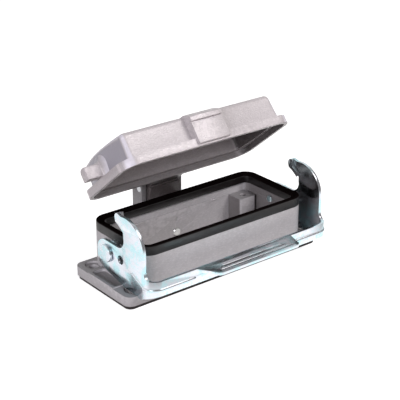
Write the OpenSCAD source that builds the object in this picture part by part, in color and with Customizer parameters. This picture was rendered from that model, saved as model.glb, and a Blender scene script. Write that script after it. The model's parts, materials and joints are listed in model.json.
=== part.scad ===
// Bulkhead mounting housing for a heavy duty rectangular connector, with a
// hinged cover and one U-shaped locking lever.
// Origin: centre of the mounting face. +X runs along the housing, +Y points
// to the hinge side, +Z points away from the panel. Millimetres.

/* [Housing] */
// Length of the mounting flange
flange_l = 117; // [100:0.5:140]
// Width of the mounting flange
flange_w = 44.6; // [43:0.1:52]
// Thickness of the flange casting
flange_t = 5.2; // [4.6:0.1:5.4]
// Corner radius of the flange
flange_r = 4; // [2:0.5:5]
// How far the flange reaches past the box at each end
flange_ear = 9.8; // [9.4:0.1:12]
// How far the flange reaches past the box's long sides
flange_lip = 0.5; // [0.4:0.1:1.5]
// Outer corner radius of the box
box_r = 7; // [6:0.5:8]
// Thickness of the box walls
wall = 3; // [2.6:0.1:3.2]
// Height of the finished housing, with its seal, above the panel
housing_h = 28.2; // [27.6:0.1:28.3]
// Radius of the fillet at the foot of the box
foot_fillet = 1.2; // [0.6:0.1:1.6]

/* [Fixing] */
// Distance of the flange holes from the flange's ends
fix_end = 7; // [5.6:0.1:7]
// Distance of the flange holes from the flange's long sides
fix_side = 6.3; // [5.6:0.1:8]
// Diameter of the flange holes
fix_hole_d = 4.5; // [4:0.1:4.6]
// Diameter of the spot face round each flange hole
spot_face_d = 8.4; // [7:0.1:9]
// Depth of the spot faces and of the pocket between the flange holes
spot_face_depth = 1.5; // [0.8:0.1:2]
// Distance of the insert screws from the box's ends
insert_end = 9.95; // [9:0.05:12]
// Distance of the insert screws from the box's long sides
insert_side = 8.3; // [8:0.1:9.5]
// Bore of the threaded insert holes
insert_bore_d = 3.3; // [2.5:0.1:4]
// Depth of the threaded insert holes
insert_depth = 11; // [8:0.5:13]
// Height of the insert bosses above the mounting face
boss_z = 19; // [16:0.5:20]

/* [Seals] */
// Thickness of the flange gasket
gasket_t = 1.8; // [1.4:0.1:2]
// How far the gasket's outline stays inside the flange's
gasket_inset = 0.8; // [0.3:0.1:1.2]
// Height of the mating seal's legs
seal_leg_h = 4.8; // [4:0.1:5.6]
// Thickness of the mating seal over the top of the wall
seal_top_t = 1.7; // [1.4:0.1:2]
// Thickness of the mating seal's outer leg
seal_outer_t = 1.2; // [0.8:0.1:1.4]
// Thickness of the mating seal's inner leg
seal_inner_t = 1.1; // [0.8:0.1:1.4]

/* [Lever] */
// Height of the lever pivots above the mounting face
pivot_z = 19.5; // [19.2:0.1:19.9]
// Distance of the lever pivots behind the housing's middle
pivot_y = 0.5; // [0.2:0.1:0.8]
// Diameter of the pivot studs where the lever turns on them
pivot_d = 6; // [5:0.2:6.6]
// Diameter of the pivot studs' heads
stud_head_d = 8.6; // [8:0.2:10]
// Diameter of the pivot washers
washer_d = 9.6; // [9:0.2:11]
// Radial running clearance of every pivot and pin
running_gap = 0.05; // [0.02:0.01:0.08]
// Thickness of the lever's sheet steel
sheet_t = 1.5; // [1.3:0.1:1.6]
// Gap between the box and the inner faces of the lever's side plates
plate_gap = 3.7; // [3.4:0.1:4]
// Outer radius of the bends between the side plates and the cross bar
bend_r = 6; // [5:0.2:6.4]
// Distance of the cross bar's outer face in front of the box
bar_reach = 12.2; // [11.8:0.1:14]
// Height of the cross bar's lower edge above the mounting face
bar_z = 9.6; // [9.2:0.1:10.4]
// Height of the cross bar
bar_h = 7.2; // [6.8:0.1:7.6]
// Gap between the hook's working edge and the top of a shut cover's pegs
hook_gap = 0.6; // [0.5:0.05:0.9]
// Width of the finger tab at its front edge
tab_front_w = 50; // [44:1:54]
// Width of the finger tab where it leaves the cross bar
tab_root_w = 57; // [55:1:60]
// How far the finger tab reaches in front of the cross bar
tab_reach = 11.3; // [9:0.1:13]

/* [Cover] */
// How far the cover's rim reaches past the box at each end
rim_end = 1.1; // [0.8:0.1:1.3]
// How far the cover's rim reaches past the box's long sides
rim_side = 1.7; // [1.4:0.1:1.9]
// Height of the cover's rim
rim_h = 4; // [3.4:0.1:4.1]
// Corner radius of the cover's rim
rim_r = 9; // [7:0.5:10]
// Width of the rim's bottom face, which lands on the seal
rim_face = 2.1; // [1.8:0.1:2.4]
// Width of the rim's ledge in front of the crown's ends
ledge_end = 2.1; // [1.8:0.1:2.6]
// Width of the rim's ledge along the crown's long sides
ledge_side = 2.5; // [2.3:0.1:3]
// Corner radius of the crown
crown_r = 3.6; // [3.4:0.1:4.5]
// Plan radius of the crown's bowed ends
crown_bow_r = 60; // [50:1:90]
// Height of the cover
cover_h = 16.7; // [16:0.1:17.4]
// Thickness of the cover's walls
cover_wall = 2.4; // [2:0.1:2.6]
// How far the locking pegs reach past the lever's side plates
peg_proud = 3.6; // [2.8:0.1:4]
// Width of the locking pegs
peg_w = 5; // [4.4:0.1:5.2]
// Height of the locking pegs
peg_h = 6.2; // [5.6:0.1:6.2]
// Gap between the rim and the seal when the cover is shut
shut_gap = 0.15; // [0.1:0.05:0.2]
// Angle at which the cover stands open
cover_angle = 39.55; // [0:0.05:100]

/* [Hinge] */
// Distance of the hinge pin behind the box
hinge_reach = 11.1; // [10.8:0.1:11.8]
// Height of the hinge pin above the cover's shut rim plane
hinge_rise = 1.1; // [0.9:0.1:1.5]
// Diameter of the hinge pin
hinge_pin_d = 3.2; // [2.6:0.1:3.4]
// Outer distance across the bracket's two arms
arm_span = 24.8; // [23:0.2:28]
// Thickness of each bracket arm
arm_t = 2.8; // [2.2:0.1:3.2]
// Side clearance between the cover's lug and each arm
lug_gap = 0.6; // [0.4:0.1:1]

/* [Hidden] */
$fn = 64;
eps = 0.01;
// Radial gap of a pressed or riveted fit
press_gap = 0.01;

// Lengths, heights and faces that several pieces share
box_l = flange_l - 2 * flange_ear;
box_w = flange_w - 2 * flange_lip;
fix_x = flange_l / 2 - fix_end;
fix_y = flange_w / 2 - fix_side;
insert_x = box_l / 2 - insert_end;
insert_y = box_w / 2 - insert_side;
rim_l = box_l + 2 * rim_end;
rim_w = box_w + 2 * rim_side;
crown_l = rim_l - 2 * ledge_end;
crown_w = rim_w - 2 * ledge_side;
hinge_y = box_w / 2 + hinge_reach;
bar_front = box_w / 2 + bar_reach;
flange_top = gasket_t + flange_t;
seal_z = housing_h - seal_leg_h;
core_top = housing_h - seal_top_t;
rim_z = housing_h + shut_gap;
hinge_z = rim_z + hinge_rise;
wall_y = box_w / 2 - wall;
wall_x = box_l / 2 - wall;
plate_in = box_l / 2 + plate_gap;
plate_out = plate_in + sheet_t;
peg_end = plate_out + peg_proud;
peg_z = 4.3;
hook_r = rim_z + peg_z + peg_h + hook_gap - pivot_z;

// Flange ends
corner_drop = 0.5;
corner_y = 10;
pocket_border = 1.6;
pocket_w = 19;
pocket_r = 2;
spot_z = flange_top - spot_face_depth;

// Inside of the box: a shallow ledge, insert bosses and cast nubs
ledge_z = 19.2;
ledge_t = 0.25;
boss_half = 5.2;
boss_reach = 4.2;
boss_edge_r = 1.2;
nub_x = 24;
nub_r = 0.5;
nub_l = 3;

// Pivot studs and what is stacked on them
shank_d = 3;
peened_d = 3.8;
peened_t = 0.6;
flat_washer_t = 1.5;
side_play = 0.12;
spring_t = 0.7;
stud_head_t = 1.35;
// Detent pins, which stop just short of the holes in the lever's plates
detent_d = 2.6;
detent_hole_d = 4.4;
detent_y = -10.7;
detent_z = 0.4;
detent_seat = 1.8;

casting_grey = [0.66, 0.64, 0.65];
cover_grey = [0.82, 0.8, 0.81];
zinc = [0.8, 0.87, 0.9];
seal_black = [0.06, 0.05, 0.05];

// ---- shared shapes -------------------------------------------------------

// Plan outline of a rounded rectangle
module rounded_plan(l, w, r) {
    for (sx = [-1, 1], sy = [-1, 1])
        translate([sx * (l / 2 - r), sy * (w / 2 - r)]) circle(r);
    square([l, w - 2 * r], center = true);
    square([l - 2 * r, w], center = true);
}

// Straight-sided slab with a rounded plan, from z0 to z1
module slab(l, w, r, z0, z1) {
    translate([0, 0, z0]) linear_extrude(z1 - z0) rounded_plan(l, w, r);
}

// Sweeps its child profile round a rounded rectangle. The profile's x is
// measured outwards from the corner centres, its y is the height.
module sweep_round(l, w, r) {
    cx = l / 2 - r;
    cy = w / 2 - r;
    for (a = [0, 90, 180, 270]) {
        px = (a == 0 || a == 270) ? cx : -cx;
        py = (a < 180) ? cy : -cy;
        run = (a == 0 || a == 180) ? 2 * cy : 2 * cx;
        translate([px, py, 0]) rotate(a) {
            rotate_extrude(angle = 90) children();
            rotate([90, 0, 0]) linear_extrude(run) children();
        }
    }
}

// Drafted block with a rounded plan and a rounded top edge
module drafted_block(l, w, r, z0, z1, draft, edge_r) {
    top_r = r - draft - edge_r;
    sweep_round(l, w, r) {
        polygon([[0, z0], [r, z0], [r - draft, z1 - edge_r], [top_r, z1 - edge_r],
                 [top_r, z1], [0, z1]]);
        translate([top_r, z1 - edge_r]) intersection() {
            circle(edge_r);
            square(2 * edge_r);
        }
    }
    translate([-l / 2 + r, -w / 2 + r, z0]) cube([l - 2 * r, w - 2 * r, z1 - z0]);
}

// Puts its child at both ends of the housing, the left one mirrored
module both_ends() {
    children();
    mirror([1, 0, 0]) children();
}

// Puts its child at both long sides of the housing, the front one mirrored
module both_sides() {
    children();
    mirror([0, 1, 0]) children();
}

// Starts its child's axis at x and points it along +X
module along_x(x) {
    translate([x, 0, 0]) rotate([0, 90, 0]) children();
}

// Extrudes an outline drawn in (y, z) along +X, from x0 to x1
module side_profile(x0, x1) {
    translate([x0, 0, 0]) rotate([90, 0, 90]) linear_extrude(x1 - x0) children();
}

// Puts its child at the lever's pivot axis
module at_pivot() {
    translate([0, pivot_y, pivot_z]) children();
}

// Puts its child at the detent, seen from the pivot axis
module at_detent() {
    at_pivot() translate([0, detent_y, detent_z]) children();
}

// Swings a piece drawn shut to where it stands open
module open_cover() {
    translate([0, hinge_y, hinge_z]) rotate([-cover_angle, 0, 0])
        translate([0, -hinge_y, -hinge_z]) children();
}

// Points on an arc, from angle a0 to a1
function arc(cx, cy, r, a0, a1, n = 10) =
    [for (i = [0 : n]) let (a = a0 + (a1 - a0) * i / n) [cx + r * cos(a), cy + r * sin(a)]];

// ---- housing -------------------------------------------------------------

// Where the box's walls stand, with room for a cut round them
module box_outline(z0, z1) {
    slab(box_l, box_w, box_r, z0, z1);
}

// Concave fillet between the flange and the box
module foot_fillet_ring() {
    translate([0, 0, flange_top]) sweep_round(box_l, box_w, box_r) difference() {
        translate([box_r - 1, -1]) square(1 + foot_fillet);
        translate([box_r + foot_fillet, foot_fillet]) circle(foot_fillet);
    }
}

// Cut in the flange's end: lowered corners, spot faces and the pocket between
module end_cuts() {
    pocket_x = box_l / 2 + foot_fillet;
    pocket_l = flange_l / 2 - pocket_border - pocket_x;
    difference() {
        union() {
            both_sides() {
                translate([box_l / 2 - box_r, corner_y, flange_top - corner_drop])
                    cube([flange_l, flange_w, corner_drop + foot_fillet]);
                translate([fix_x, fix_y, spot_z])
                    cylinder(d = spot_face_d, h = spot_face_depth + foot_fillet);
            }
            translate([pocket_x + pocket_l / 2, 0, 0])
                slab(pocket_l, pocket_w, pocket_r, spot_z, flange_top + foot_fillet);
        }
        box_outline(0, housing_h);
    }
}

// Boss that takes an insert screw, joined to the long wall
module insert_boss() {
    side = boss_half - boss_edge_r;
    front = boss_reach - boss_edge_r;
    root = box_w / 2 - wall / 2 - insert_y;
    translate([insert_x, insert_y, gasket_t])
        linear_extrude(boss_z - gasket_t) {
            translate([-boss_half, -front]) square([2 * boss_half, front + root]);
            translate([-side, -boss_reach]) square([2 * side, boss_reach]);
            for (s = [-1, 1]) translate([s * side, -front]) circle(boss_edge_r);
        }
}

// Small cast nubs on the inner back wall, which keep an insert square
module wall_nubs() {
    for (s = [-1, 1])
        translate([0, wall_y - ledge_t, ledge_z - nub_r])
            along_x(s * nub_x - nub_l / 2) cylinder(r = nub_r, h = nub_l);
}

module housing_cavity() {
    slab(2 * wall_x, 2 * wall_y, box_r - wall, ledge_z, housing_h);
    slab(2 * (wall_x - ledge_t), 2 * (wall_y - ledge_t), box_r - wall - ledge_t,
         -eps, ledge_z + eps);
}

module base_housing() {
    color(casting_grey) difference() {
        union() {
            difference() {
                union() {
                    slab(flange_l, flange_w, flange_r, gasket_t, flange_top);
                    box_outline(gasket_t, seal_z);
                    slab(box_l - 2 * seal_outer_t, box_w - 2 * seal_outer_t,
                         box_r - seal_outer_t, seal_z - 1, core_top);
                    foot_fillet_ring();
                }
                housing_cavity();
                both_ends() end_cuts();
            }
            both_ends() both_sides() insert_boss();
            wall_nubs();
        }
        both_ends() both_sides() {
            translate([fix_x, fix_y, -eps])
                cylinder(d = fix_hole_d, h = flange_top + 1);
            translate([insert_x, insert_y, boss_z - insert_depth])
                cylinder(d = insert_bore_d, h = insert_depth + 1);
        }
        both_ends() {
            at_pivot() {
                along_x(wall_x - 1) cylinder(r = shank_d / 2 + press_gap, h = wall + 2);
                along_x(wall_x - 1) cylinder(d = peened_d + 1, h = 1);
            }
            at_detent() along_x(box_l / 2 - detent_seat)
                cylinder(r = detent_d / 2 + press_gap, h = detent_seat + 1);
        }
        bracket_cuts();
    }
}

// Profile of the mating seal, measured outwards from the corner centres:
// two legs that hug the wall, and a top that slopes down to the inside
module seal_profile() {
    outer = box_r;
    inner = box_r - wall - seal_inner_t;
    slope = 0.9;
    difference() {
        union() {
            polygon(concat([[inner, seal_z], [outer, seal_z]],
                           arc(outer - 0.7, housing_h - 0.7, 0.7, 0, 90, 8),
                           [[outer - 1.7, housing_h], [inner + 1.4, housing_h - slope],
                            [inner + 0.3, housing_h - slope], [inner, housing_h - slope - 0.3]]));
        }
        translate([outer - wall, seal_z - 1])
            square([wall - seal_outer_t, core_top - seal_z + 1]);
    }
}

module mating_seal() {
    color(seal_black) sweep_round(box_l, box_w, box_r) seal_profile();
}

module flange_gasket() {
    color(seal_black) difference() {
        slab(flange_l - 2 * gasket_inset, flange_w - 2 * gasket_inset,
             flange_r - gasket_inset, 0, gasket_t);
        slab(2 * (wall_x - ledge_t), 2 * (wall_y - ledge_t), box_r - wall - ledge_t,
             -1, gasket_t + 1);
        both_ends() both_sides() translate([fix_x, fix_y, -1])
            cylinder(d = fix_hole_d, h = gasket_t + 2);
    }
}

// ---- hinge ---------------------------------------------------------------

bracket_foot_t = 2.6;
bracket_bottom = 3.6;
bracket_top = 18.4;
arm_front = hinge_y - 2.3;
arm_back = hinge_y + 5.6;
arm_head_r = 3.6;
arm_edge_r = 1;
rivet_d = 3;
rivet_head_d = 4.4;
rivet_head_t = 0.6;
rivet_z = 7.8;
locating_pin_d = 1.8;
locating_pin_z = 14.8;
bracket_fit = 0.15;

// Seat of the bracket in the flange's back edge, and its two bores
module bracket_cuts() {
    translate([-arm_span / 2 - bracket_fit, box_w / 2, 0])
        cube([arm_span + 2 * bracket_fit, flange_w, flange_top + foot_fillet]);
    translate([0, wall_y - 1, rivet_z]) rotate([-90, 0, 0])
        cylinder(r = rivet_d / 2 + press_gap, h = wall + 2);
    translate([0, wall_y - 1, locating_pin_z]) rotate([-90, 0, 0])
        cylinder(r = locating_pin_d / 2 + press_gap, h = wall + 2);
}

// Side outline of a bracket arm, drawn in (y, z)
module arm_outline() {
    foot_y = box_w / 2;
    top = hinge_z + arm_head_r;
    polygon(concat(
        [[foot_y, bracket_bottom], [foot_y + 5, bracket_bottom], [arm_back, bracket_bottom + 10]],
        arc(arm_back - arm_head_r, hinge_z, arm_head_r, 0, 90),
        arc(arm_front + arm_edge_r, top - arm_edge_r, arm_edge_r, 90, 180, 5),
        [[arm_front, bracket_top + 4], [foot_y + bracket_foot_t + 1.4, bracket_top],
         [foot_y, bracket_top]]));
}

module hinge_bracket() {
    color(casting_grey) difference() {
        union() {
            for (x = [-arm_span / 2, arm_span / 2 - arm_t])
                side_profile(x, x + arm_t) arm_outline();
            translate([-arm_span / 2, box_w / 2, bracket_bottom])
                cube([arm_span, bracket_foot_t, bracket_top - bracket_bottom]);
        }
        translate([0, hinge_y, hinge_z]) along_x(-arm_span)
            cylinder(r = hinge_pin_d / 2 + press_gap, h = 2 * arm_span);
        translate([0, box_w / 2 - 1, rivet_z]) rotate([-90, 0, 0])
            cylinder(r = rivet_d / 2 + press_gap, h = bracket_foot_t + 2);
        translate([0, box_w / 2 - 1, locating_pin_z]) rotate([-90, 0, 0])
            cylinder(r = locating_pin_d / 2 + press_gap, h = 1 + bracket_foot_t / 2);
    }
}

// Rivet through the back wall and the bracket's foot, headed on both sides
module bracket_rivet() {
    inner_y = wall_y - ledge_t;
    grip = box_w / 2 + bracket_foot_t - inner_y;
    color(zinc) translate([0, inner_y, rivet_z]) rotate([-90, 0, 0])
        rotate_extrude() polygon([
            [0, -rivet_head_t], [rivet_head_d / 2 - 0.4, -rivet_head_t],
            [rivet_head_d / 2, 0], [rivet_d / 2, 0], [rivet_d / 2, grip],
            [rivet_head_d / 2, grip], [rivet_head_d / 2 - 0.4, grip + rivet_head_t],
            [0, grip + rivet_head_t]]);
}

// Pin that keeps the bracket square, its inner end sunk in its hole
module bracket_locating_pin() {
    sunk = 0.6;
    start = wall_y - ledge_t + sunk;
    color(zinc) translate([0, start, locating_pin_z]) rotate([-90, 0, 0])
        cylinder(d = locating_pin_d, h = box_w / 2 + bracket_foot_t / 2 - start);
}

module hinge_pin() {
    color(zinc) translate([0, hinge_y, hinge_z]) along_x(-arm_span / 2)
        cylinder(d = hinge_pin_d, h = arm_span);
}

// ---- cover ---------------------------------------------------------------

crown_draft = 0.8;
crown_edge_r = 2.5;
rebate_h = 2.8;
cavity_r = 3.1;
cavity_edge_r = 1.2;
pad_half = 9;
peg_back_r = 2.4;
peg_chamfer = 0.7;
lug_r = 4;
lug_w = arm_span - 2 * arm_t - 2 * lug_gap;

// Side outline of the front pad with its finger ledge, drawn in (y, z).
// The pad's root runs up the middle of the drafted wall.
module pad_outline() {
    face = -rim_w / 2 - 1.5;
    root = -crown_w / 2 + cover_wall / 2;
    polygon([[root, 0.9], [face + 0.3, 0.9], [face, 1.2], [face, 11.4], [face + 0.7, 11.4],
             [face + 0.7, 12], [face - 0.6, 12], [face - 0.6, 14],
             [face + 0.2, 14.8], [root - 1, cover_h], [root + crown_edge_r, cover_h],
             [root + crown_draft, cover_h - crown_edge_r]]);
}

// Crown whose ends are bowed: a drafted block and, on its flat ends, a cap
// turned about an axis far inside. The size is taken at the foot.
module bowed_block(l, w, r, bow_r, z1, edge_r) {
    flat_half = w / 2 - r;
    bow = bow_r - sqrt(pow(bow_r, 2) - pow(flat_half, 2));
    block_l = l - 2 * bow + 0.1;
    drafted_block(block_l, w, r, 0, z1, crown_draft, edge_r);
    both_ends() intersection() {
        translate([l / 2 - bow_r, 0, 0]) rotate_extrude() {
            polygon([[0, 0], [bow_r, 0], [bow_r - crown_draft, z1 - edge_r],
                     [bow_r - crown_draft - edge_r, z1 - edge_r],
                     [bow_r - crown_draft - edge_r, z1], [0, z1]]);
            translate([bow_r - crown_draft - edge_r, z1 - edge_r]) intersection() {
                circle(edge_r);
                square(2 * edge_r);
            }
        }
        translate([block_l / 2 - r, -flat_half, 0]) cube([r + 2 * bow, 2 * flat_half, z1]);
    }
}

// Locking peg and its pedestal at the cover's right end
module locking_peg() {
    pedestal_x = rim_l / 2 - 0.3;
    arch_r = 7.1;
    side_profile(pedestal_x - 4, peg_end)
        translate([-peg_w / 2, peg_z]) polygon(concat(
            [[0, 0], [peg_w, 0]],
            arc(peg_w - peg_back_r, peg_h - peg_back_r, peg_back_r, 0, 90, 8),
            [[peg_chamfer, peg_h], [0, peg_h - peg_chamfer]]));
    hull() {
        side_profile(pedestal_x - eps, pedestal_x)
            translate([-peg_w / 2, rim_h - 1]) square([peg_w, peg_z + peg_h - rim_h + 1]);
        side_profile(crown_l / 2 - crown_draft - 1.2, crown_l / 2 - crown_draft - 1)
            polygon(concat(arc(0.9, cover_h - 0.8 - arch_r, arch_r, 0, 180, 16),
                           [[0.9 - arch_r, rim_h - 1], [0.9 + arch_r, rim_h - 1]]));
    }
}

// Lug between the bracket's arms, with the heel that hangs below the pin.
// The heel's points are measured from the pin.
module hinge_lug() {
    heel = [[-5.2, -2.6], [-2.8, -4.2], [1.9, -7.6], [6.1, -4.1], [3.4, 2.1]];
    root_y = crown_w / 2 - 1.2;
    side_profile(-lug_w / 2, lug_w / 2) {
        translate([hinge_y, hinge_rise]) {
            circle(lug_r);
            polygon(heel);
        }
        polygon([[root_y, 0], [rim_w / 2, 0], [hinge_y - 3.9, hinge_rise - 1.4],
                 [hinge_y, hinge_rise], [hinge_y, hinge_rise + lug_r], [root_y, 7.5]]);
    }
}

module cover_shut() {
    difference() {
        union() {
            slab(rim_l, rim_w, rim_r, 0, rim_h);
            bowed_block(crown_l, crown_w, crown_r, crown_bow_r, cover_h, crown_edge_r);
            side_profile(-pad_half, pad_half) pad_outline();
            both_ends() locking_peg();
            hinge_lug();
        }
        slab(rim_l - 2 * rim_face, rim_w - 2 * rim_face, rim_r - rim_face, -eps, rebate_h);
        translate([0, 0, -eps])
            bowed_block(crown_l - 2 * cover_wall, crown_w - 2 * cover_wall, cavity_r,
                        crown_bow_r - cover_wall, cover_h - cover_wall, cavity_edge_r);
        translate([0, hinge_y, hinge_rise]) along_x(-arm_span)
            cylinder(r = hinge_pin_d / 2 + running_gap, h = 2 * arm_span);
    }
}

module cover() {
    color(cover_grey) open_cover() translate([0, 0, rim_z]) cover_shut();
}

// ---- lever pivots --------------------------------------------------------

module pivot_stud() {
    journal = box_l / 2;
    head = plate_out + side_play;
    color(zinc) at_pivot() along_x(0) rotate_extrude() polygon([
        [0, wall_x - peened_t], [peened_d / 2 - 0.2, wall_x - peened_t],
        [peened_d / 2, wall_x], [shank_d / 2, wall_x], [shank_d / 2, journal],
        [pivot_d / 2, journal], [pivot_d / 2, head], [stud_head_d / 2, head],
        [stud_head_d / 2, head + stud_head_t - 0.35],
        [stud_head_d / 2 - 0.35, head + stud_head_t], [0, head + stud_head_t]]);
}

module pivot_washer() {
    color(zinc) at_pivot() along_x(box_l / 2) difference() {
        cylinder(d = washer_d, h = flat_washer_t);
        translate([0, 0, -1]) cylinder(r = pivot_d / 2 + running_gap, h = flat_washer_t + 2);
    }
}

// Dished washer that presses the side plate outwards against the stud's head
module spring_washer() {
    start = box_l / 2 + flat_washer_t;
    reach = plate_in - side_play - start;
    bore = pivot_d / 2 + running_gap;
    color(zinc) at_pivot() along_x(start) rotate_extrude() polygon([
        [bore, 0], [bore + 0.6, 0], [washer_d / 2 - 0.2, reach - spring_t],
        [washer_d / 2 - 0.2, reach], [washer_d / 2 - 0.8, reach], [bore, spring_t]]);
}

module detent_pin() {
    start = box_l / 2 - detent_seat;
    color(zinc) at_detent() along_x(start)
        cylinder(d = detent_d, h = plate_in - 0.35 - start);
}

// ---- locking lever -------------------------------------------------------

lip_t = 1.5;
lip_w = 1.8;
hook_start = 112;
hook_end = 132;
bead_r = 0.9;
bead_proud = 0.5;
bead_z = bar_z + 3;
bead_start = 30;
bead_run = 8.6;
bead_rise = 3.9;
neck_r = 3.2;
hem_r = 0.9;
ridge_r = 0.6;
ridge_proud = 0.25;
tab_rise = 1.1;
tab_corner_r = 3;
front_y = -bar_front + bend_r - pivot_y;
// Hook tip, the plate's lower edge over the flange and its toe in front of it
tip_y = -9.3;
tip_z = 20.8;
tip_r = 2.3;
plate_low = flange_top - corner_drop + 0.4;
plate_foot = 7.4;
toe_y = -flange_w / 2 - 0.6;
toe_z = 6.1;
bend_x = plate_out - bend_r;
bend_y = -bar_front + bend_r;
bar_top = bar_z + bar_h;
tab_front = -bar_front - tab_reach;

// Outline of a side plate, in (y, z) from the pivot axis
module plate_outline() {
    crest_y = -14.7;
    polygon(concat(
        // front edge, up to the hook's crest and over its tip
        [[front_y, plate_foot - pivot_z]],
        arc(crest_y, 8.7, crest_y - front_y, 180, 78, 24),
        arc(tip_y, tip_z, tip_r, 80, -20, 6),
        // working edge, then the mouth of the hook
        arc(0, 0, hook_r, hook_start, hook_end, 8),
        arc(-8.7, 10.9, 4.9, 165, 270, 10),
        // lobe round the pivot, then the lower edge and the toe before the flange
        arc(1.5, -0.2, 6.3, 92, -4, 12),
        arc(3.4, -3.5, 4.3, -5, -70, 8),
        [[-0.8, -9.5], [-6.9, -10.8], [-14.6, plate_low - pivot_z],
         [toe_y - pivot_y, plate_low - pivot_z], [toe_y - pivot_y - 0.8, toe_z - pivot_z],
         [toe_y - pivot_y - 2.6, toe_z - pivot_z]]));
}

// Side plate with its pivot bore, its detent hole and the hook's thickened lip
module side_plate() {
    at_pivot() {
        side_profile(plate_in, plate_out) difference() {
            plate_outline();
            circle(r = pivot_d / 2 + running_gap);
            translate([detent_y, detent_z]) circle(d = detent_hole_d);
        }
        side_profile(plate_in - lip_t, plate_in) polygon(concat(
            arc(tip_y, tip_z, tip_r, 100, -20, 8), arc(0, 0, hook_r, hook_start, hook_end, 8),
            arc(0, 0, hook_r + lip_w, hook_end, hook_start + 6, 8)));
    }
}

// Quarter bend between a side plate and the cross bar, with its neck
module bar_bend() {
    difference() {
        translate([bend_x, bend_y, plate_foot]) rotate(-90) rotate_extrude(angle = 90)
            translate([bend_r - sheet_t, 0]) square([sheet_t, bar_top + neck_r - plate_foot]);
        side_profile(bend_x - 1, plate_out + 1)
            polygon([[bend_y, plate_foot - 1], [bend_y, plate_foot], [-bar_front, bar_z],
                     [-bar_front - 1, bar_z], [-bar_front - 1, plate_foot - 1]]);
        translate([0, bend_y - neck_r, bar_top + neck_r]) along_x(bend_x - 1)
            cylinder(r = neck_r, h = bend_r + 2);
        translate([bend_x - 1, bend_y - neck_r - bend_r, bar_top])
            cube([bend_r + 2, bend_r, neck_r + 1]);
    }
}

// Stiffening bead that runs along the bar, round the bend and up the plate
module bead() {
    inset = bead_r - bead_proud;
    climb = atan2(bead_rise, bead_run);
    translate([bead_start, -bar_front + inset, bead_z]) {
        sphere(bead_r);
        along_x(0) cylinder(r = bead_r, h = bend_x - bead_start);
    }
    translate([bend_x, bend_y, bead_z]) rotate(-90) rotate_extrude(angle = 90)
        translate([bend_r - inset, 0]) circle(bead_r);
    translate([plate_out - inset, bend_y, bead_z]) rotate([climb - 90, 0, 0]) {
        cylinder(r = bead_r, h = norm([bead_rise, bead_run]));
        translate([0, 0, norm([bead_rise, bead_run])]) sphere(bead_r);
    }
}

// Finger tab bent forwards from the bar's upper edge, hemmed at the front
module finger_tab() {
    back = -bar_front + sheet_t;
    intersection() {
        side_profile(-tab_root_w, tab_root_w) polygon([
            [back, bar_top - sheet_t], [back, bar_top], [-bar_front, bar_top],
            [tab_front, bar_top + tab_rise], [tab_front, bar_top + tab_rise - sheet_t],
            [-bar_front, bar_top - sheet_t]]);
        translate([0, 0, bar_z]) linear_extrude(2 * bar_h) {
            polygon([[-tab_root_w / 2, back], [tab_root_w / 2, back],
                     [tab_root_w / 2, -bar_front],
                     [tab_front_w / 2, tab_front + tab_corner_r],
                     [-tab_front_w / 2, tab_front + tab_corner_r],
                     [-tab_root_w / 2, -bar_front]]);
            for (s = [-1, 1])
                translate([s * (tab_front_w / 2 - tab_corner_r), tab_front + tab_corner_r])
                    circle(tab_corner_r);
            translate([-tab_front_w / 2 + tab_corner_r, tab_front])
                square([tab_front_w - 2 * tab_corner_r, tab_corner_r]);
        }
    }
    // two ridges: how far each lies in front of the bar, and its length
    for (ridge = [[4.5, 34.8], [7.9, 41.4]])
        translate([0, -bar_front - ridge[0],
                   bar_top + tab_rise * ridge[0] / tab_reach + ridge_proud - ridge_r]) {
            along_x(-ridge[1] / 2) cylinder(r = ridge_r, h = ridge[1]);
            for (s = [-1, 1]) translate([s * ridge[1] / 2, 0, 0]) sphere(ridge_r);
        }
    translate([0, tab_front + hem_r, bar_top + tab_rise - hem_r]) {
        along_x(-tab_front_w / 2 + tab_corner_r)
            cylinder(r = hem_r, h = tab_front_w - 2 * tab_corner_r);
        for (s = [-1, 1])
            translate([s * (tab_front_w / 2 - tab_corner_r), 0, 0]) sphere(hem_r);
    }
}

module locking_lever() {
    color(zinc) {
        both_ends() {
            side_plate();
            bar_bend();
            bead();
        }
        translate([-bend_x, -bar_front, bar_z]) cube([2 * bend_x, sheet_t, bar_h]);
        finger_tab();
    }
}

// ---- parts ---------------------------------------------------------------

// Builds one of a pair: side is 1 at the right end, -1 at the left end
module at_end(side) {
    if (side > 0) children();
    else mirror([1, 0, 0]) children();
}

base_housing();
mating_seal();
flange_gasket();
hinge_bracket();
bracket_rivet();
bracket_locating_pin();
hinge_pin();
cover();
at_end(-1) pivot_stud();  // pivot_stud_left
at_end(1) pivot_stud();  // pivot_stud_right
at_end(-1) pivot_washer();  // pivot_washer_left
at_end(1) pivot_washer();  // pivot_washer_right
at_end(-1) spring_washer();  // spring_washer_left
at_end(1) spring_washer();  // spring_washer_right
at_end(-1) detent_pin();  // detent_pin_left
at_end(1) detent_pin();  // detent_pin_right
locking_lever();
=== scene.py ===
"""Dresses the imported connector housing: castings, seals, zinc plated lever, studio stage."""

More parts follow.
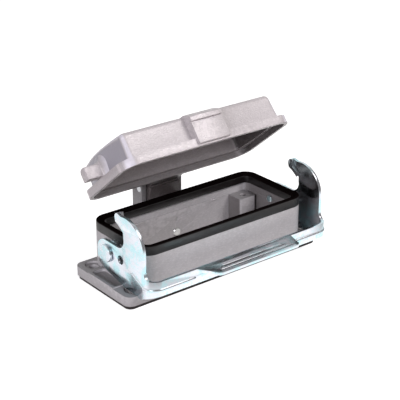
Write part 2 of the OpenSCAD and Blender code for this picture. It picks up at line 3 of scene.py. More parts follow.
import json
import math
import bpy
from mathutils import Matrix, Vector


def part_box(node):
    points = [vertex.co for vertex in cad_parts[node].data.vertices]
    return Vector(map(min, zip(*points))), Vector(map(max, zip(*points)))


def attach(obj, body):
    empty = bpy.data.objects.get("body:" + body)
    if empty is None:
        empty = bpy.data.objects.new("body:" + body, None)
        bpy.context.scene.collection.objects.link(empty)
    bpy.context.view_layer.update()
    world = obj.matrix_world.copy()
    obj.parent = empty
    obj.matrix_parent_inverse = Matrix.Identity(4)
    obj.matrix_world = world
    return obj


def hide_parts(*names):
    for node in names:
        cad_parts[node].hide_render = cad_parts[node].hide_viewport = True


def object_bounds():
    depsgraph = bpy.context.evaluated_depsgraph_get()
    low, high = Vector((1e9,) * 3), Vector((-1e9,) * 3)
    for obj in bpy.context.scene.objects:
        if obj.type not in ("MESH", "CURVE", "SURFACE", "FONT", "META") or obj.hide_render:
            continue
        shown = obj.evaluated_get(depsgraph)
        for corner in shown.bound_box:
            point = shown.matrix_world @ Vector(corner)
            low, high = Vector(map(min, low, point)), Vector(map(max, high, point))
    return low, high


bl_info = {
    "name": "Bulkhead connector housing",
    "version": (1, 0, 0),
    "blender": (4, 5, 0),
    "location": "View3D > Sidebar > Connector",
    "description": "Castings, seals and plated steel of a bulkhead connector housing",
    "category": "Object",
}

import bmesh
import bpy
from bpy.props import FloatProperty, FloatVectorProperty, IntProperty, PointerProperty
from mathutils import Vector

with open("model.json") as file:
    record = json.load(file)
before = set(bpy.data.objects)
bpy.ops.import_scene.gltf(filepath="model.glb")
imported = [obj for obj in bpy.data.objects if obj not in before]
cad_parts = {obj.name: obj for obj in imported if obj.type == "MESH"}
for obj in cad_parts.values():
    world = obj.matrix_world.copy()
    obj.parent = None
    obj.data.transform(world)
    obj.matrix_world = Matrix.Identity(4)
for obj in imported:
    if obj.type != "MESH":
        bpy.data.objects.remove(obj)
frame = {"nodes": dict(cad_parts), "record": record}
CAD_BOX = [list(corner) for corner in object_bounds()]
MM = 0.001


def row(rows, key, value):
    """The row of one of the record's lists whose key has the value"""
    return next(entry for entry in rows if entry[key] == value)


# Places that the frame gives, in metres
INSERT = row(frame["record"]["mounts"], "name", "insert_screws")
BOSS_TOP = INSERT["pos_m"][2]
HINGE_YZ = row(frame["record"]["behaviour"]["joints"], "child", "cover")["pos_m"][1:]
SEAL_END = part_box("mating_seal")[1][0]
LEVER_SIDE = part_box("locking_lever")[1][0]
THREAD_TOP = BOSS_TOP - 0.0006      # the first thread turn
PEG_FACE_X = SEAL_END + 0.0008      # outer faces of the cover's peg pedestals

# Where the marks on the coats lie, in metres: blasted peg faces, and painted shade,
# painted highlight and painted dark reflection. A mark starts at its first value and is
# full at its second. Where it has four, it fades from the third and ends at the fourth
BLASTED = (-0.0003, -0.0001, 0.00012, 0.00025)      # in x, about the peg face
CROWN_STOP = (-0.0006, -0.0010)      # in x, inside the peg face
# painted shade on the faces that look up, below just above the boss tops
SHADED_TOPS_Z = (BOSS_TOP + 0.0025, BOSS_TOP + 0.0005)      # in z, on faces that look up
# painted shade on the end walls inside the housing and cover
SHADED_END_WALLS = (-0.018, -0.034)      # in x times the normal's x, on walls that face inward
# painted shade on the crown's outer end walls, and a painted highlight on its corners
SHADED_CROWN_ENDS = (0.040, 0.0445)      # in the same, on the crown's outer end walls
HIGHLIT_CROWN_CORNERS = (0.012, 0.021, 0.034, 0.043)      # and where it turns to the front
PEG_SIDES = (0.030, 0.042)      # and on the pedestals' outer faces
# painted shadow round the hinge's axis, on the cover's lug
HINGE_SHADOW_REACH = (0.014, 0.009)      # away from the hinge's axis
# where the painted dark reflection lies on the lever's right side plate
RIGHT_PLATE_X = (LEVER_SIDE - 0.0144, LEVER_SIDE - 0.0044)      # in x, on the lever
RIGHT_PLATE_Z = (0.012, 0.026)      # in z, on the same plate

LAMPS = (      # name, place, size, power, colour
    ("key", (0.40, -0.50, 0.76), 0.5, 6.1, (1.0, 0.982, 0.975)),
    ("side", (-0.82, -0.40, 0.40), 0.36, 5.2, (0.94, 0.94, 1.0)),
)
LAMP_TARGET = (0, 0, 0.03)
FLOOR_HALF = 3.0
FLOOR_GAP = 0.0001
CAMERA_PLACE = (-0.3196, -0.40205, 0.25612)
CAMERA_TURN = (90 - 23.638, 0.03, -38.504)
CAMERA_LENS = 105.13


# ---- sizes and colours -----------------------------------------------------

class CastingSettings(bpy.types.PropertyGroup):
    """Looks of the die-cast housing, cover and bracket"""
    housing: FloatVectorProperty(
        name="Housing colour", description="Powder coat of the housing and its bracket",
        subtype="COLOR", size=3, min=0, max=1, default=(0.52, 0.495, 0.51))
    cover: FloatVectorProperty(
        name="Cover colour", description="Powder coat of the hinged cover",
        subtype="COLOR", size=3, min=0, max=1, default=(0.52, 0.478, 0.492))
    edge_radius: FloatProperty(
        name="Edge radius", description="Rounding of the cast edges",
        subtype="DISTANCE", unit="LENGTH", min=0.0001, max=0.001, default=0.0004)
    grain_size: FloatProperty(
        name="Grain size", description="Size of the coat's grain",
        subtype="DISTANCE", unit="LENGTH", min=0.0002, max=0.003, default=0.0008)


class LeverSettings(bpy.types.PropertyGroup):
    """Looks of the plated lever, studs and washers"""
    zinc: FloatVectorProperty(
        name="Zinc colour", description="Blue zinc plating of the lever",
        subtype="COLOR", size=3, min=0, max=1, default=(0.65, 0.68, 0.73))
    tint: FloatVectorProperty(
        name="Passivation tint", description="Colour of the patches that passivation leaves",
        subtype="COLOR", size=3, min=0, max=1, default=(0.46, 0.69, 0.73))
    edge_radius: FloatProperty(
        name="Edge radius", description="Rounding of the stamped edges",
        subtype="DISTANCE", unit="LENGTH", min=0.00005, max=0.0006, default=0.00025)


class SealSettings(bpy.types.PropertyGroup):
    """Looks of the mating seal and the flange gasket"""
    rubber: FloatVectorProperty(
        name="Rubber colour", description="Colour of the moulded seal",
        subtype="COLOR", size=3, min=0, max=1, default=(0.0035, 0.0018, 0.0018))
    edge_radius: FloatProperty(
        name="Edge radius", description="Rounding of the seal's moulded edges",
        subtype="DISTANCE", unit="LENGTH", min=0.00005, max=0.0006, default=0.0002)


class ThreadSettings(bpy.types.PropertyGroup):
    """Threads in the four insert bosses"""
    pitch: FloatProperty(
        name="Thread pitch", description="Distance between two thread turns",
        subtype="DISTANCE", unit="LENGTH", min=0.0003, max=0.001, default=0.0007)
    turns: IntProperty(
        name="Thread turns", description="Thread turns that show in each boss",
        min=4, max=16, default=12)


class ConnectorSettings(bpy.types.PropertyGroup):
    """Settings of the whole part"""
    casting: PointerProperty(type=CastingSettings)
    lever: PointerProperty(type=LeverSettings)
    seal: PointerProperty(type=SealSettings)
    thread: PointerProperty(type=ThreadSettings)


def settings():
    return bpy.context.scene.connector


# ---- node helpers ----------------------------------------------------------

def new_group(name, inputs, outputs):
    """Shader node group with the given sockets; gives the tree and its two ends"""
    tree = bpy.data.node_groups.new(name, "ShaderNodeTree")
    for label, kind, value in inputs:
        socket = tree.interface.new_socket(label, in_out="INPUT", socket_type=kind)
        if value is not None:
            socket.default_value = value
    for label, kind in outputs:
        tree.interface.new_socket(label, in_out="OUTPUT", socket_type=kind)
    return tree, tree.nodes.new("NodeGroupInput"), tree.nodes.new("NodeGroupOutput")


def add(tree, kind, links=None, **values):
    """Adds a node; values set its attributes, links feed or set its inputs"""
    node = tree.nodes.new(kind)
    for key, value in values.items():
        setattr(node, key, value)
    for key, source in (links or {}).items():
        socket = node.inputs[key]
        if isinstance(source, bpy.types.NodeSocket):
            tree.links.new(source, socket)
        else:
            socket.default_value = source
    return node


def maths(tree, operation, a, b=0.0, c=0.0, clamp=False):
    node = add(tree, "ShaderNodeMath", {0: a, 1: b, 2: c}, operation=operation)
    node.use_clamp = clamp
    return node.outputs[0]


def spread(tree, value, low, high, to_low=0.0, to_high=1.0):
    """Maps a value smoothly from one range to another, clamped"""
    node = add(tree, "ShaderNodeMapRange",
               {"Value": value, "From Min": low, "From Max": high,
                "To Min": to_low, "To Max": to_high})
    node.interpolation_type = "SMOOTHSTEP"
    return node.outputs["Result"]


def blend_colour(tree, factor, a, b, mode="MIX"):
    node = add(tree, "ShaderNodeMix", data_type="RGBA", blend_type=mode)
    node.clamp_factor = True
    for index, source in ((0, factor), (6, a), (7, b)):
        if isinstance(source, bpy.types.NodeSocket):
            tree.links.new(source, node.inputs[index])
        else:
            node.inputs[index].default_value = source
    return node.outputs[2]


def rgba(colour):
    return (*colour[:3], 1.0)


def tone(colour, red, green=None, blue=None):
    """The colour times one factor, or times one a channel, as RGBA and at most 1"""
    factors = (red, red if green is None else green, red if blue is None else blue)
    return rgba([min(c * factor, 1.0) for c, factor in zip(colour, factors)])


def product(tree, *masks):
    """Masks multiplied with each other"""
    result = masks[0]
    for mask in masks[1:]:
        result = maths(tree, "MULTIPLY", result, mask)
    return result


def band(tree, value, starts, full, fades, ends):
    """1 from full to fades, and 0 before starts and past ends"""
    return product(tree, spread(tree, value, starts, full), spread(tree, value, ends, fades))


# ---- shared effects --------------------------------------------------------

def grain_group():
    """Fine grain of a coated casting: height, and a light and dark mottle"""
    tree, source, target = new_group(
        "Casting grain",
        [("Vector", "NodeSocketVector", None), ("Grain", "NodeSocketFloat", 1200.0),
         ("Mottle", "NodeSocketFloat", 90.0)],
        [("Height", "NodeSocketFloat"), ("Mottle", "NodeSocketFloat"),
         ("Specks", "NodeSocketFloat")])
    drawn = add(tree, "ShaderNodeMapping",
                {"Vector": source.outputs["Vector"], "Scale": (0.55, 1.0, 1.25)})
    fine = add(tree, "ShaderNodeTexNoise",
               {"Vector": drawn.outputs["Vector"], "Scale": source.outputs["Grain"],
                "Detail": 3.0, "Roughness": 0.62})
    cells = add(tree, "ShaderNodeTexVoronoi",
                {"Vector": source.outputs["Vector"], "Scale": source.outputs["Grain"]})
    broad = add(tree, "ShaderNodeTexNoise",
                {"Vector": source.outputs["Vector"], "Scale": source.outputs["Mottle"],
                 "Detail": 4.0, "Roughness": 0.55})
    height = maths(tree, "MULTIPLY_ADD", cells.outputs["Distance"], 0.45,
                   fine.outputs["Fac"])
    tree.links.new(height, target.inputs["Height"])
    tree.links.new(spread(tree, broad.outputs["Fac"], 0.3, 0.72), target.inputs["Mottle"])
    tree.links.new(spread(tree, fine.outputs["Fac"], 0.46, 0.70), target.inputs["Specks"])
    return tree


def wear_group():
    """Mask of the edges that handling rubs, from the surface's pointiness"""
    tree, source, target = new_group(
        "Edge wear",
        [("Vector", "NodeSocketVector", None), ("Amount", "NodeSocketFloat", 0.5)],
        [("Mask", "NodeSocketFloat")])
    shape = add(tree, "ShaderNodeNewGeometry")
    breakup = add(tree, "ShaderNodeTexNoise",
                  {"Vector": source.outputs["Vector"], "Scale": 420.0, "Detail": 3.0})
    edge = spread(tree, shape.outputs["Pointiness"], 0.53, 0.62)
    broken = maths(tree, "MULTIPLY", edge, spread(tree, breakup.outputs["Fac"], 0.35, 0.65))
    tree.links.new(maths(tree, "MULTIPLY", broken, source.outputs["Amount"], clamp=True),
                   target.inputs["Mask"])
    return tree


def plating_group():
    """Cloudy patches and fine rolling marks of zinc plated sheet steel"""
    tree, source, target = new_group(
        "Zinc clouds",
        [("Vector", "NodeSocketVector", None), ("Patch", "NodeSocketFloat", 130.0)],
        [("Clouds", "NodeSocketFloat"), ("Marks", "NodeSocketFloat"),
         ("Height", "NodeSocketFloat")])
    clouds = add(tree, "ShaderNodeTexNoise",
                 {"Vector": source.outputs["Vector"], "Scale": source.outputs["Patch"],
                  "Detail": 5.0, "Roughness": 0.62, "Distortion": 0.5})
    stretched = add(tree, "ShaderNodeMapping",
                    {"Vector": source.outputs["Vector"], "Scale": (1.0, 0.22, 1.6)})
    marks = add(tree, "ShaderNodeTexNoise",
                {"Vector": stretched.outputs["Vector"], "Scale": 900.0, "Detail": 3.0})
    tree.links.new(spread(tree, clouds.outputs["Fac"], 0.42, 0.62), target.inputs["Clouds"])
    tree.links.new(marks.outputs["Fac"], target.inputs["Marks"])
    tree.links.new(maths(tree, "MULTIPLY_ADD", clouds.outputs["Fac"], 0.5,
                         marks.outputs["Fac"]), target.inputs["Height"])
    return tree


GROUPS = {}


def effect(tree, name, maker, **inputs):
    """Places a shared effect in a material, fed with Object coordinates"""
    if name not in GROUPS:
        GROUPS[name] = maker()
    place = add(tree, "ShaderNodeTexCoord")
    node = add(tree, "ShaderNodeGroup", node_tree=GROUPS[name])
    tree.links.new(place.outputs["Object"], node.inputs["Vector"])
    for key, value in inputs.items():
        node.inputs[key].default_value = value
    return node


def own_place(tree):
    """The point's place in the piece's own frame, split into X, Y and Z"""
    place = add(tree, "ShaderNodeTexCoord")
    return add(tree, "ShaderNodeSeparateXYZ", {0: place.outputs["Object"]})


def own_normal(tree):
    """The surface's normal in the piece's own frame, split into X, Y and Z"""
    shape = add(tree, "ShaderNodeNewGeometry")
    turned = add(tree, "ShaderNodeVectorTransform", {0: shape.outputs["Normal"]},
                 vector_type="NORMAL", convert_from="WORLD", convert_to="OBJECT")
    return add(tree, "ShaderNodeSeparateXYZ", {0: turned.outputs[0]})


def new_material(name):
    """Material with a Principled shader; gives the material, its tree and the shader"""
    material = bpy.data.materials.new(name)
    material.use_nodes = True
    return material, material.node_tree, material.node_tree.nodes["Principled BSDF"]


def bump(tree, shader, height, strength, distance):
    node = add(tree, "ShaderNodeBump", {"Height": height, "Strength": strength,
                                        "Distance": distance})
    tree.links.new(node.outputs["Normal"], shader.inputs["Normal"])


# ---- materials -------------------------------------------------------------

def casting_material(name, colour, worn, shine, grain_size, inner=0.35, hinge=None,
                     peg_face=None):
    """Grey coated die-casting: grainy, softly mottled, a little brighter on its edges, with
    painted shade on the faces that look up low down. inner is the strength of the painted
    shade on the end walls inside, hinge is the axis (y, z) round which a painted shadow
    darkens it, peg_face the x of the blasted faces that carry the pegs"""
    material, tree, shader = new_material(name)
    grain = effect(tree, "grain", grain_group, Grain=1.0 / grain_size, Mottle=260.0)
    wear = effect(tree, "wear", wear_group, Amount=worn)
    coat = blend_colour(tree, grain.outputs["Mottle"], tone(colour, 0.96), tone(colour, 1.03))
    coat = blend_colour(tree, maths(tree, "MULTIPLY", grain.outputs["Specks"], 0.5),
                        coat, tone(colour, 1.3))
    coat = blend_colour(tree, wear.outputs["Mask"], coat, tone(colour, 1.5))

    place = own_place(tree)
    facing = own_normal(tree)
    # positive on walls that face outward along the part, negative on those that face in
    outness = maths(tree, "MULTIPLY", place.outputs["X"], facing.outputs["X"])
    # painted shade: walls that face inward along the part darken to the inner factor
    coat = blend_colour(tree, spread(tree, outness, *SHADED_END_WALLS), coat,
                        tone(colour, inner, inner * 0.95, inner * 0.93))
    # painted shade: faces that look up, low down, darken to half the coat's colour
    painted_top_shade = product(tree, spread(tree, facing.outputs["Z"], 0.8, 0.97),
                    spread(tree, place.outputs["Z"], *SHADED_TOPS_Z))
    coat = blend_colour(tree, painted_top_shade, coat, tone(colour, 0.5))
    # painted shade on the crown's end walls and a painted highlight on its corners
    if peg_face:
        coat = crown_painted_light_and_blasting(tree, coat, colour, grain, place, outness, peg_face)
    # painted shadow round the hinge's axis
    if hinge:
        coat = hinge_painted_shadow(tree, coat, colour, place, hinge)

    tree.links.new(coat, shader.inputs["Base Color"])
    shader.inputs["Metallic"].default_value = 0.1
    tree.links.new(spread(tree, grain.outputs["Height"], 0.3, 1.1, shine + 0.10, shine - 0.06),
                   shader.inputs["Roughness"])
    bump(tree, shader, grain.outputs["Height"], 0.75, 0.0002)
    return material


def crown_painted_light_and_blasting(tree, coat, colour, grain, place, outness, peg_face):
    """Painted shade on the end walls, a painted highlight on the corners where they
    turn to the front, and pale blasted peg faces of the cover
    """
    across = maths(tree, "ABSOLUTE", place.outputs["X"])
    crown = spread(tree, across, *[peg_face + away for away in CROWN_STOP])
    walls = product(tree, crown, spread(tree, outness, *SHADED_CROWN_ENDS))
    corners = product(tree, crown, band(tree, outness, *HIGHLIT_CROWN_CORNERS))
    blasted = product(tree, spread(tree, outness, *PEG_SIDES),
                      band(tree, across, *[peg_face + away for away in BLASTED]))
    # painted shade on the crown's end walls, then a painted highlight on its corners
    coat = blend_colour(tree, walls, coat, tone(colour, 0.72, 0.74, 0.82))
    coat = blend_colour(tree, corners, coat, tone(colour, 1.32, 1.36, 1.46))
    return blend_colour(tree, blasted, coat,
                        blend_colour(tree, grain.outputs["Specks"], tone(colour, 1.25),
                                     tone(colour, 1.75)))


def hinge_painted_shadow(tree, coat, colour, place, hinge):
    """Painted shadow round the hinge's axis, dark on the cover's lug"""
    away_y = maths(tree, "SUBTRACT", place.outputs["Y"], hinge[0])
    away_z = maths(tree, "SUBTRACT", place.outputs["Z"], hinge[1])
    reach = maths(tree, "SQRT", maths(tree, "MULTIPLY_ADD", away_y, away_y,
                                      maths(tree, "MULTIPLY", away_z, away_z)))
    return blend_colour(tree, spread(tree, reach, *HINGE_SHADOW_REACH, 0.0, 0.85), coat,
                        tone(colour, 0.08, 0.055, 0.05))


def rubber_material(name, colour, roughness):
    """Moulded black rubber with faint dust, its sides smooth and its top matt"""
    material, tree, shader = new_material(name)
    grain = effect(tree, "grain", grain_group, Grain=2600.0, Mottle=160.0)
    dusty = [min(c + 0.004, 1.0) for c in colour]
    base = blend_colour(tree, maths(tree, "MULTIPLY", grain.outputs["Mottle"], 0.35),
                        rgba(colour), rgba(dusty))
    tree.links.new(base, shader.inputs["Base Color"])
    tree.links.new(spread(tree, grain.outputs["Mottle"], 0.0, 1.0, roughness, roughness + 0.12),
                   shader.inputs["Roughness"])
    facing = own_normal(tree)
    tree.links.new(spread(tree, facing.outputs["Z"], 0.2, 0.7, 0.38, 0.0),
                   shader.inputs["Specular IOR Level"])
    bump(tree, shader, grain.outputs["Height"], 0.18, 0.00005)
    return material


def zinc_material(name, colour, tint, roughness):
    """Blue zinc plated steel with pale and tinted clouds, and a painted dark reflection on
    the faces that slope up to the front and on the inside of the right side plate"""
    material, tree, shader = new_material(name)
    clouds = effect(tree, "zinc", plating_group, Patch=150.0)
    wear = effect(tree, "wear", wear_group, Amount=0.5)
    plating = blend_colour(tree, clouds.outputs["Clouds"], rgba(colour), rgba(tint))
    plating = blend_colour(tree, spread(tree, clouds.outputs["Marks"], 0.35, 0.75, 0.0, 0.25),
                           plating, tone(colour, 0.8))
    plating = blend_colour(tree, wear.outputs["Mask"], plating, (0.92, 0.95, 0.96, 1.0))

    place = own_place(tree)
    facing = own_normal(tree)
    slope = product(tree, spread(tree, facing.outputs["Z"], 0.05, 0.25),
                    spread(tree, facing.outputs["Y"], -0.2, -0.6))
    inside = product(tree, spread(tree, place.outputs["X"], *RIGHT_PLATE_X),
                     spread(tree, facing.outputs["X"], -0.4, -0.85),
                     spread(tree, place.outputs["Z"], *RIGHT_PLATE_Z, 0.45, 1.0))
    # painted dark reflection on the faces that slope up to the front and inside the right side
    # plate
    painted_dark_reflection = product(tree, maths(tree, "MAXIMUM", slope, inside),
                   spread(tree, clouds.outputs["Clouds"], 0.0, 1.0, 1.0, 0.85))
    plating = blend_colour(tree, painted_dark_reflection, plating, (0.19, 0.19, 0.20, 1.0))

    tree.links.new(plating, shader.inputs["Base Color"])
    shader.inputs["Metallic"].default_value = 1.0
    tree.links.new(spread(tree, clouds.outputs["Clouds"], 0.0, 1.0, roughness, roughness + 0.1),
                   shader.inputs["Roughness"])
    bump(tree, shader, clouds.outputs["Height"], 0.12, 0.00006)
    return material


def steel_material(name, colour, roughness):
    """Plain drawn steel of pins and rivets, with fine turning marks"""
    material, tree, shader = new_material(name)
    clouds = effect(tree, "zinc", plating_group, Patch=400.0)
    base = blend_colour(tree, clouds.outputs["Marks"], tone(colour, 0.75), rgba(colour))
    tree.links.new(base, shader.inputs["Base Color"])
    shader.inputs["Metallic"].default_value = 0.9
    tree.links.new(spread(tree, clouds.outputs["Clouds"], 0.0, 1.0, roughness, roughness + 0.12),
                   shader.inputs["Roughness"])
    bump(tree, shader, clouds.outputs["Height"], 0.1, 0.00005)
    return material


# ---- piece helpers ---------------------------------------------------------

def body_of(node):
    for body, nodes in frame["record"]["behaviour"]["bodies"].items():
        if node in nodes:
            return body
    raise KeyError(node)


def dress(node, material):
    """Gives a node that keeps its own mesh a finished material"""
    mesh = frame["nodes"][node].data
    mesh.materials.clear()
    mesh.materials.append(material)


def soft_edged(node, piece_name, material, radius, segments=2, angle=28.0):
    """Stands in for a node with the same shape, its sharp edges rounded"""
    mesh = bpy.data.meshes.new(piece_name)
    work = bmesh.new()
    work.from_mesh(frame["nodes"][node].data)
    bmesh.ops.remove_doubles(work, verts=work.verts, dist=2e-6)
    bmesh.ops.dissolve_limit(work, angle_limit=math.radians(0.6), use_dissolve_boundaries=False,
                             verts=work.verts, edges=work.edges, delimit=set())
    bmesh.ops.recalc_face_normals(work, faces=work.faces)
    work.to_mesh(mesh)
    work.free()
    piece = bpy.data.objects.new(piece_name, mesh)
    bpy.context.scene.collection.objects.link(piece)
    mesh.materials.clear()
    mesh.materials.append(material)
    rounding = piece.modifiers.new("Rounded edges", "BEVEL")
    rounding.width = radius
    rounding.segments = segments
    rounding.limit_method = "ANGLE"
    rounding.angle_limit = math.radians(angle)
    rounding.use_clamp_overlap = True
    rounding.harden_normals = False
    graph = bpy.context.evaluated_depsgraph_get()
    final = bpy.data.meshes.new_from_object(piece.evaluated_get(graph))
    piece.modifiers.clear()
    piece.data = final
    final.name = piece_name
    smooth_by_angle(final, 35.0)
    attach(piece, body_of(node))
    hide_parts(node)
    return piece


def smooth_by_angle(mesh, degrees):
    mesh.shade_smooth()
    mesh.set_sharp_from_angle(angle=math.radians(degrees))


def thread_tree():
    """Geometry Nodes tree: ring turns down each hole of a two by two pattern"""
    tree = bpy.data.node_groups.new("Boss threads", "GeometryNodeTree")
    names = {}
    for label, kind in (("Radius", "Float"), ("Pitch", "Float"), ("Turns", "Int"),
                        ("Spacing X", "Float"), ("Spacing Y", "Float"), ("Top", "Float"),
                        ("Seed", "Int"), ("Material", "Material")):
        socket = tree.interface.new_socket(label, in_out="INPUT",
                                           socket_type="NodeSocket" + kind)
        names[label] = socket.identifier
    tree.interface.new_socket("Geometry", in_out="OUTPUT", socket_type="NodeSocketGeometry")
    ends = tree.nodes.new("NodeGroupInput").outputs
    ring = add(tree, "GeometryNodeCurvePrimitiveCircle",
               {"Resolution": 20, "Radius": maths(tree, "ADD", ends["Radius"], -0.00001)})
    crest = add(tree, "GeometryNodeCurvePrimitiveCircle",
                {"Resolution": 3, "Radius": maths(tree, "MULTIPLY", ends["Pitch"], 0.34)})
    turn = add(tree, "GeometryNodeCurveToMesh", {0: ring.outputs[0], 1: crest.outputs[0]})
    step = add(tree, "ShaderNodeCombineXYZ", {2: maths(tree, "MULTIPLY", ends["Pitch"], -1.0)})
    start = add(tree, "ShaderNodeCombineXYZ", {2: ends["Top"]})
    line = add(tree, "GeometryNodeMeshLine",
               {"Count": ends["Turns"], "Start Location": start.outputs[0],
                "Offset": step.outputs[0]})
    twist = add(tree, "FunctionNodeRandomValue", {"Max": (0.0, 0.0, 6.283), "Seed": ends["Seed"]},
                data_type="FLOAT_VECTOR")
    thread = add(tree, "GeometryNodeInstanceOnPoints",
                 {"Points": line.outputs[0], "Instance": turn.outputs[0],
                  "Rotation": twist.outputs[0]})
    grid = add(tree, "GeometryNodeMeshGrid",
               {"Size X": ends["Spacing X"], "Size Y": ends["Spacing Y"],
                "Vertices X": 2, "Vertices Y": 2})
    holes = add(tree, "GeometryNodeInstanceOnPoints",
                {"Points": grid.outputs[0], "Instance": thread.outputs[0]})
    solid = add(tree, "GeometryNodeRealizeInstances", {0: holes.outputs[0]})
    dressed = add(tree, "GeometryNodeSetMaterial",
                  {"Geometry": solid.outputs[0], "Material": ends["Material"]})
    out = tree.nodes.new("NodeGroupOutput")
    tree.links.new(dressed.outputs[0], out.inputs[0])
    return tree, names


# ---- operators -------------------------------------------------------------

class CONNECTOR_OT_castings(bpy.types.Operator):
    """Housing, hinge bracket and cover as coated castings"""
    bl_idname = "connector.castings"
    bl_label = "Castings"

    def execute(self, context):
        look = settings().casting
        housing = casting_material("Housing coat", look.housing, worn=0.5, shine=0.46,
                                   grain_size=look.grain_size)
        # painted shade: the bracket's coat is the housing's colour at 0.6, for the shade under
        # the open cover
        bracket = casting_material("Bracket coat", [c * 0.6 for c in look.housing], worn=0.4,
                                   shine=0.48, grain_size=look.grain_size)
        # the cover's inner walls carry a deeper painted shade
        cover = casting_material("Cover coat", look.cover, worn=0.4, shine=0.34,
                                 grain_size=look.grain_size * 0.8, inner=0.2,
                                 hinge=HINGE_YZ, peg_face=PEG_FACE_X)
        soft_edged("base_housing", "housing_casting", housing, look.edge_radius)
        soft_edged("hinge_bracket", "bracket_casting", bracket, look.edge_radius)
        soft_edged("cover", "cover_casting", cover, look.edge_radius)
        return {"FINISHED"}


class CONNECTOR_OT_seals(bpy.types.Operator):
    """Mating seal and flange gasket in black rubber"""
    bl_idname = "connector.seals"
    bl_label = "Seals"

    def execute(self, context):
        look = settings().seal
        seal = rubber_material("Seal rubber", look.rubber, roughness=0.34)
        gasket = rubber_material("Gasket rubber", [c * 3.0 for c in look.rubber],
                                 roughness=0.6)
        soft_edged("mating_seal", "seal_ring", seal, look.edge_radius)
        dress("flange_gasket", gasket)
        return {"FINISHED"}


class CONNECTOR_OT_lever(bpy.types.Operator):
    """Locking lever as plated sheet steel with rounded edges"""
    bl_idname = "connector.lever"
    bl_label = "Locking lever"

    def execute(self, context):
        look = settings().lever
        zinc = zinc_material("Lever zinc", look.zinc, look.tint, roughness=0.17)
        soft_edged("locking_lever", "lever_sheet", zinc, look.edge_radius)
        return {"FINISHED"}


class CONNECTOR_OT_pivots(bpy.types.Operator):
    """Studs, washers, pins and rivets"""
    bl_idname = "connector.pivots"
    bl_label = "Pivots and pins"

    def execute(self, context):
        look = settings().lever
        stud = zinc_material("Stud zinc", look.zinc, look.tint, roughness=0.24)
        washer = zinc_material("Washer zinc", [c * 0.9 for c in look.zinc], look.tint,
                               roughness=0.34)
        steel = steel_material("Pin steel", (0.55, 0.56, 0.58), roughness=0.3)
        rivet = steel_material("Rivet steel", (0.6, 0.59, 0.58), roughness=0.34)
        for side in ("left", "right"):
            soft_edged("pivot_stud_" + side, "stud_" + side, stud, radius=0.18 * MM,
                       angle=40.0)
            dress("pivot_washer_" + side, washer)
            dress("spring_washer_" + side, washer)
            dress("detent_pin_" + side, steel)
        dress("hinge_pin", steel)
        dress("bracket_rivet", rivet)
        dress("bracket_locating_pin", rivet)
        return {"FINISHED"}


class CONNECTOR_OT_threads(bpy.types.Operator):
    """Thread turns in the four insert bosses, one Geometry Nodes tree"""
    bl_idname = "connector.threads"
    bl_label = "Boss threads"

    def execute(self, context):
        look = settings().thread
        dims = INSERT["dims"]
        tree, names = thread_tree()
        mesh = bpy.data.meshes.new("boss_threads")
        piece = bpy.data.objects.new("boss_threads", mesh)
        context.scene.collection.objects.link(piece)
        steel = steel_material("Thread metal", (0.42, 0.40, 0.41), 0.4)
        modifier = piece.modifiers.new("Threads", "NODES")
        modifier.node_group = tree
        for name, value in (("Radius", dims["hole_r_mm"] * MM), ("Pitch", look.pitch),
                            ("Turns", look.turns), ("Spacing X", dims["spacing_x_mm"] * MM),
                            ("Spacing Y", dims["spacing_y_mm"] * MM), ("Top", THREAD_TOP),
                            ("Seed", 7), ("Material", steel)):
            modifier[names[name]] = value
        graph = context.evaluated_depsgraph_get()
        final = bpy.data.meshes.new_from_object(piece.evaluated_get(graph))
        piece.modifiers.clear()
        piece.data = final
        final.name = "boss_threads"
        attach(piece, "base")
        return {"FINISHED"}


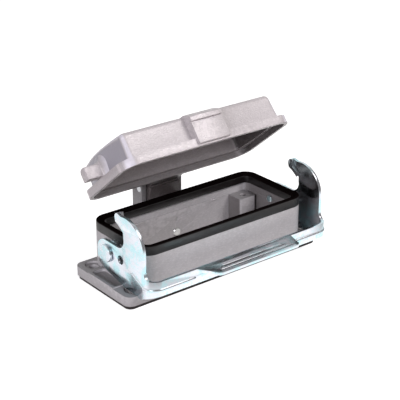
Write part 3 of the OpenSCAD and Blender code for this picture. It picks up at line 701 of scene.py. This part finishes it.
class CONNECTOR_OT_stage(bpy.types.Operator):
    """Pale floor, soft studio light and the camera"""
    bl_idname = "connector.stage"
    bl_label = "Stage"

    def execute(self, context):
        scene = context.scene
        self.floor(scene)
        self.world(scene)
        self.lamps(scene)
        self.camera(scene)
        scene.view_settings.view_transform = "Standard"
        return {"FINISHED"}

    def seen(self, tree):
        """1 for rays from the camera and those that metal or glass reflects, else 0"""
        rays = add(tree, "ShaderNodeLightPath")
        return maths(tree, "MAXIMUM", rays.outputs["Is Camera Ray"],
                     maths(tree, "MAXIMUM", rays.outputs["Is Glossy Ray"],
                           rays.outputs["Is Transmission Ray"]))

    def floor(self, scene):
        mesh = bpy.data.meshes.new("floor")
        mesh.from_pydata([(x * FLOOR_HALF, y * FLOOR_HALF, 0)
                          for x, y in ((-1, -1), (1, -1), (1, 1), (-1, 1))],
                         [], [(0, 1, 2, 3)])
        floor = bpy.data.objects.new("floor", mesh)
        floor.location.z = CAD_BOX[0][2] - FLOOR_GAP
        scene.collection.objects.link(floor)
        material = bpy.data.materials.new("Floor")
        material.use_nodes = True
        tree = material.node_tree
        tree.nodes.clear()
        seen = self.seen(tree)
        paper = add(tree, "ShaderNodeBsdfDiffuse", {"Color": (0.8, 0.8, 0.8, 1)})
        bounce = add(tree, "ShaderNodeBsdfDiffuse", {"Color": (0.26, 0.22, 0.20, 1)})
        glow = add(tree, "ShaderNodeEmission", {"Color": (1, 1, 1, 1), "Strength": 0.78})
        lit = add(tree, "ShaderNodeAddShader", {0: paper.outputs[0], 1: glow.outputs[0]})
        final = add(tree, "ShaderNodeMixShader",
                    {0: seen, 1: bounce.outputs[0], 2: lit.outputs[0]})
        out = add(tree, "ShaderNodeOutputMaterial")
        tree.links.new(final.outputs[0], out.inputs["Surface"])
        mesh.materials.append(material)

    def world(self, scene):
        world = bpy.data.worlds.new("Studio")
        world.use_nodes = True
        scene.world = world
        tree = world.node_tree
        tree.nodes.clear()
        seen = self.seen(tree)
        strength = spread(tree, seen, 0.0, 1.0, 0.13, 1.0)
        colour = blend_colour(tree, seen, (1.0, 0.92, 0.89, 1.0), (1.0, 1.0, 1.0, 1.0))
        glow = add(tree, "ShaderNodeBackground", {"Color": colour, "Strength": strength})
        out = add(tree, "ShaderNodeOutputWorld")
        tree.links.new(glow.outputs[0], out.inputs["Surface"])

    def lamps(self, scene):
        middle = Vector(LAMP_TARGET)
        for name, place, size, power, colour in LAMPS:
            light = bpy.data.lights.new(name, "AREA")
            light.size = size
            light.color = colour
            light.energy = power
            lamp = bpy.data.objects.new(name, light)
            lamp.location = place
            lamp.rotation_euler = (Vector(place) - middle).to_track_quat("Z", "Y").to_euler()
            scene.collection.objects.link(lamp)

    def camera(self, scene):
        data = bpy.data.cameras.new("camera")
        data.sensor_width = 36.0
        data.lens = CAMERA_LENS
        data.clip_start = 0.05
        data.clip_end = 20.0
        camera = bpy.data.objects.new("camera", data)
        camera.location = CAMERA_PLACE
        camera.rotation_euler = [math.radians(angle) for angle in CAMERA_TURN]
        scene.collection.objects.link(camera)
        scene.camera = camera


class CONNECTOR_PT_panel(bpy.types.Panel):
    """Sidebar panel with the part's settings and build steps"""
    bl_label = "Connector housing"
    bl_idname = "CONNECTOR_PT_panel"
    bl_space_type = "VIEW_3D"
    bl_region_type = "UI"
    bl_category = "Connector"

    def draw(self, context):
        layout = self.layout
        values = context.scene.connector
        for group in ("casting", "lever", "seal", "thread"):
            box = layout.box()
            box.label(text=group.capitalize())
            part = getattr(values, group)
            for key in part.__annotations__:
                box.prop(part, key)
        for step in STEPS:
            layout.operator(step.bl_idname)


STEPS = (CONNECTOR_OT_castings, CONNECTOR_OT_seals, CONNECTOR_OT_lever, CONNECTOR_OT_pivots,
         CONNECTOR_OT_threads, CONNECTOR_OT_stage)
CLASSES = (CastingSettings, LeverSettings, SealSettings, ThreadSettings,
           ConnectorSettings) + STEPS + (CONNECTOR_PT_panel,)


def register():
    for cls in CLASSES:
        bpy.utils.register_class(cls)
    bpy.types.Scene.connector = PointerProperty(type=ConnectorSettings)


def unregister():
    del bpy.types.Scene.connector
    for cls in reversed(CLASSES):
        bpy.utils.unregister_class(cls)


def main():
    register()
    bpy.ops.connector.castings()
    bpy.ops.connector.seals()
    bpy.ops.connector.lever()
    bpy.ops.connector.pivots()
    bpy.ops.connector.threads()
    bpy.ops.connector.stage()


if __name__ == "__main__":
    main()
